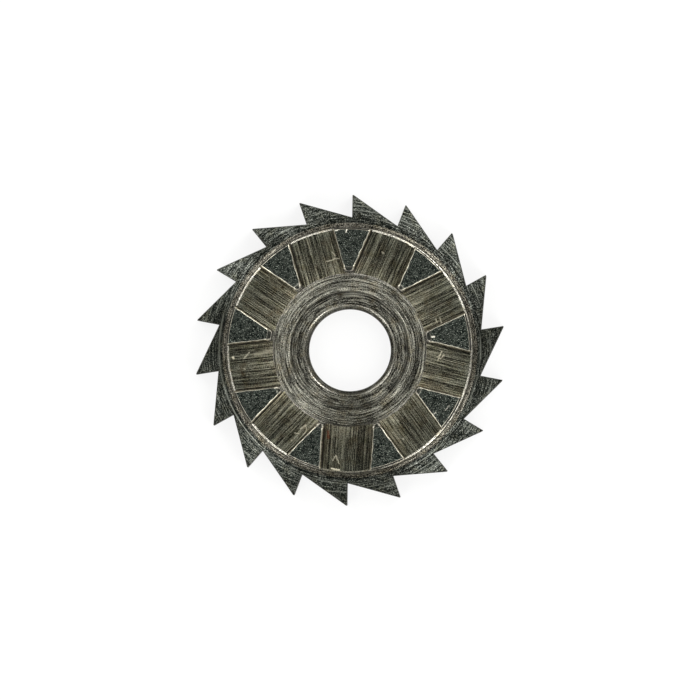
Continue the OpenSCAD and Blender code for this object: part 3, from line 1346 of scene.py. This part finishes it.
# %% A steel for each finish
finish_steel = {
    "bore": bore_steel, "countersink": hub_steel, "seat edge": lip_steel, "hub": hub_steel,
    "hub edge": ring_steel, "milled": floor_steel, "wall": wall_steel, "floor edge": ring_steel,
    "lapped": top_steel, "tip bevel": tip_steel, "tip line": line_steel, "edge": edge_steel,
    "bevel": bevel_steel, "outer bevel": shaded_outer_bevel_steel, "drum wall": drum_steel,
    "cove": cove_steel, "plate": plate_steel, "tooth edge": tooth_edge_steel,
    "flank": flank_steel, "ground": ground_steel, "tip edge": tip_edge_steel,
}
for name in finish_names:
    wheel_mesh.materials.append(finish_steel[name])
print("materials:", len(set(finish_steel.values())))

# %% [markdown]
# ## Light and floor
# The wheel was photographed on white. A white surround shows in the picture and in the steel as
# pure white, but it gives only half of that as light, so that the lamps can model the form and a
# colour still shows about as it is written. Light Path tells the two kinds of rays apart.

# %% Surround
surround_light = 0.5
pure_white = (1, 1, 1, 1)


def seen_rays(tree):
    """1 for rays from the lens, straight or by a mirror, and 0 for rays that only bring light."""
    rays = add_node(tree, "ShaderNodeLightPath").outputs
    seen = rays["Is Camera Ray"]
    for kind in ("Is Glossy Ray", "Is Transmission Ray"):
        both = {0: seen, 1: rays[kind]}
        seen = add_node(tree, "ShaderNodeMath", both, operation="MAXIMUM").outputs[0]
    return seen


world = bpy.data.worlds.new("white surround")
bpy.context.scene.world = world
world.use_nodes = True
sky = world.node_tree
sky.nodes.clear()
limits = {"Value": seen_rays(sky), 3: surround_light, 4: 1.0}
strength = add_node(sky, "ShaderNodeMapRange", limits).outputs[0]
glow = add_node(sky, "ShaderNodeBackground", {"Color": pure_white, "Strength": strength})
add_node(sky, "ShaderNodeOutputWorld", {"Surface": glow.outputs[0]})
print("surround: white, with", surround_light, "of it as light")

# %% [markdown]
# Every turned ring in the photograph is bright at four places and dark between them, so soft light
# came from four corners. Four tall lamps stand there, in the picture's own directions, and two of
# them are a little stronger. They are far larger than the wheel, which keeps their light soft.

# %% Lamps
lamp_turns = (45, 138, 230, 315)
lamp_levels = (1.3, 0.8, 0.8, 1.15)
lamp_rise = math.radians(42)
lamp_reach = 60
lamp_wide = 26
lamp_tall = 60
lamp_glow = 3.5

for number, (degrees, level) in enumerate(zip(lamp_turns, lamp_levels)):
    lamp = bpy.data.lights.new(f"lamp_{number}", "AREA")
    lamp.shape = "RECTANGLE"
    lamp.size = lamp_wide * MM
    lamp.size_y = lamp_tall * MM
    lamp.energy = lamp_glow * level * math.pi * lamp.size * lamp.size_y
    stand = bpy.data.objects.new(f"lamp_{number}", lamp)
    turn = math.radians(degrees) - wheel_turn
    level_way = Vector((math.cos(turn), math.sin(turn), 0)) * math.cos(lamp_rise)
    way = level_way + Vector((0, 0, math.sin(lamp_rise)))
    stand.location = way * lamp_reach * MM
    stand.rotation_euler = way.to_track_quat("Z", "Y").to_euler()
    bpy.context.scene.collection.objects.link(stand)
print("lamps:", len(lamp_turns), "at", lamp_reach, "mm from the wheel")

# %% [markdown]
# The wheel lies on a sheet of white paper. Most of what the lens sees of it is pure white, and the
# rest takes light as paper does, so a soft shadow stays. The sheet lies a hair under the wheel,
# because two faces in one place would flicker, and it is clear from below, so that the underside
# can be looked at.

# %% Floor
floor_side = 400
floor_drop = 0.002
floor_white = 0.82
half = floor_side / 2
corners = [(-half, -half), (half, -half), (half, half), (-half, half)]
floor_mesh = bpy.data.meshes.new("floor")
floor_mesh.from_pydata([(x * MM, y * MM, -floor_drop * MM) for x, y in corners], [], [(0, 1, 2, 3)])
paper = bpy.data.materials.new("white_paper")
paper.use_nodes = True
sheet = paper.node_tree
sheet.nodes.clear()
matt = add_node(sheet, "ShaderNodeBsdfDiffuse", {"Color": linear("#f4f4f2")}).outputs[0]
white = add_node(sheet, "ShaderNodeEmission", {"Color": pure_white, "Strength": 1.0}).outputs[0]
clear = add_node(sheet, "ShaderNodeBsdfTransparent").outputs[0]
share = {0: seen_rays(sheet), 1: floor_white}
shown = add_node(sheet, "ShaderNodeMath", share, operation="MULTIPLY").outputs[0]
surface = add_node(sheet, "ShaderNodeMixShader", {0: shown, 1: matt, 2: white}).outputs[0]
below = add_node(sheet, "ShaderNodeNewGeometry").outputs["Backfacing"]
surface = add_node(sheet, "ShaderNodeMixShader", {0: below, 1: surface, 2: clear}).outputs[0]
add_node(sheet, "ShaderNodeOutputMaterial", {"Surface": surface})
floor_mesh.materials.append(paper)
floor = bpy.data.objects.new("floor", floor_mesh)
bpy.context.scene.collection.objects.link(floor)
bpy.context.scene.view_settings.view_transform = "Standard"
print("floor:", floor_side, "mm wide,", floor_drop, "mm under the wheel")
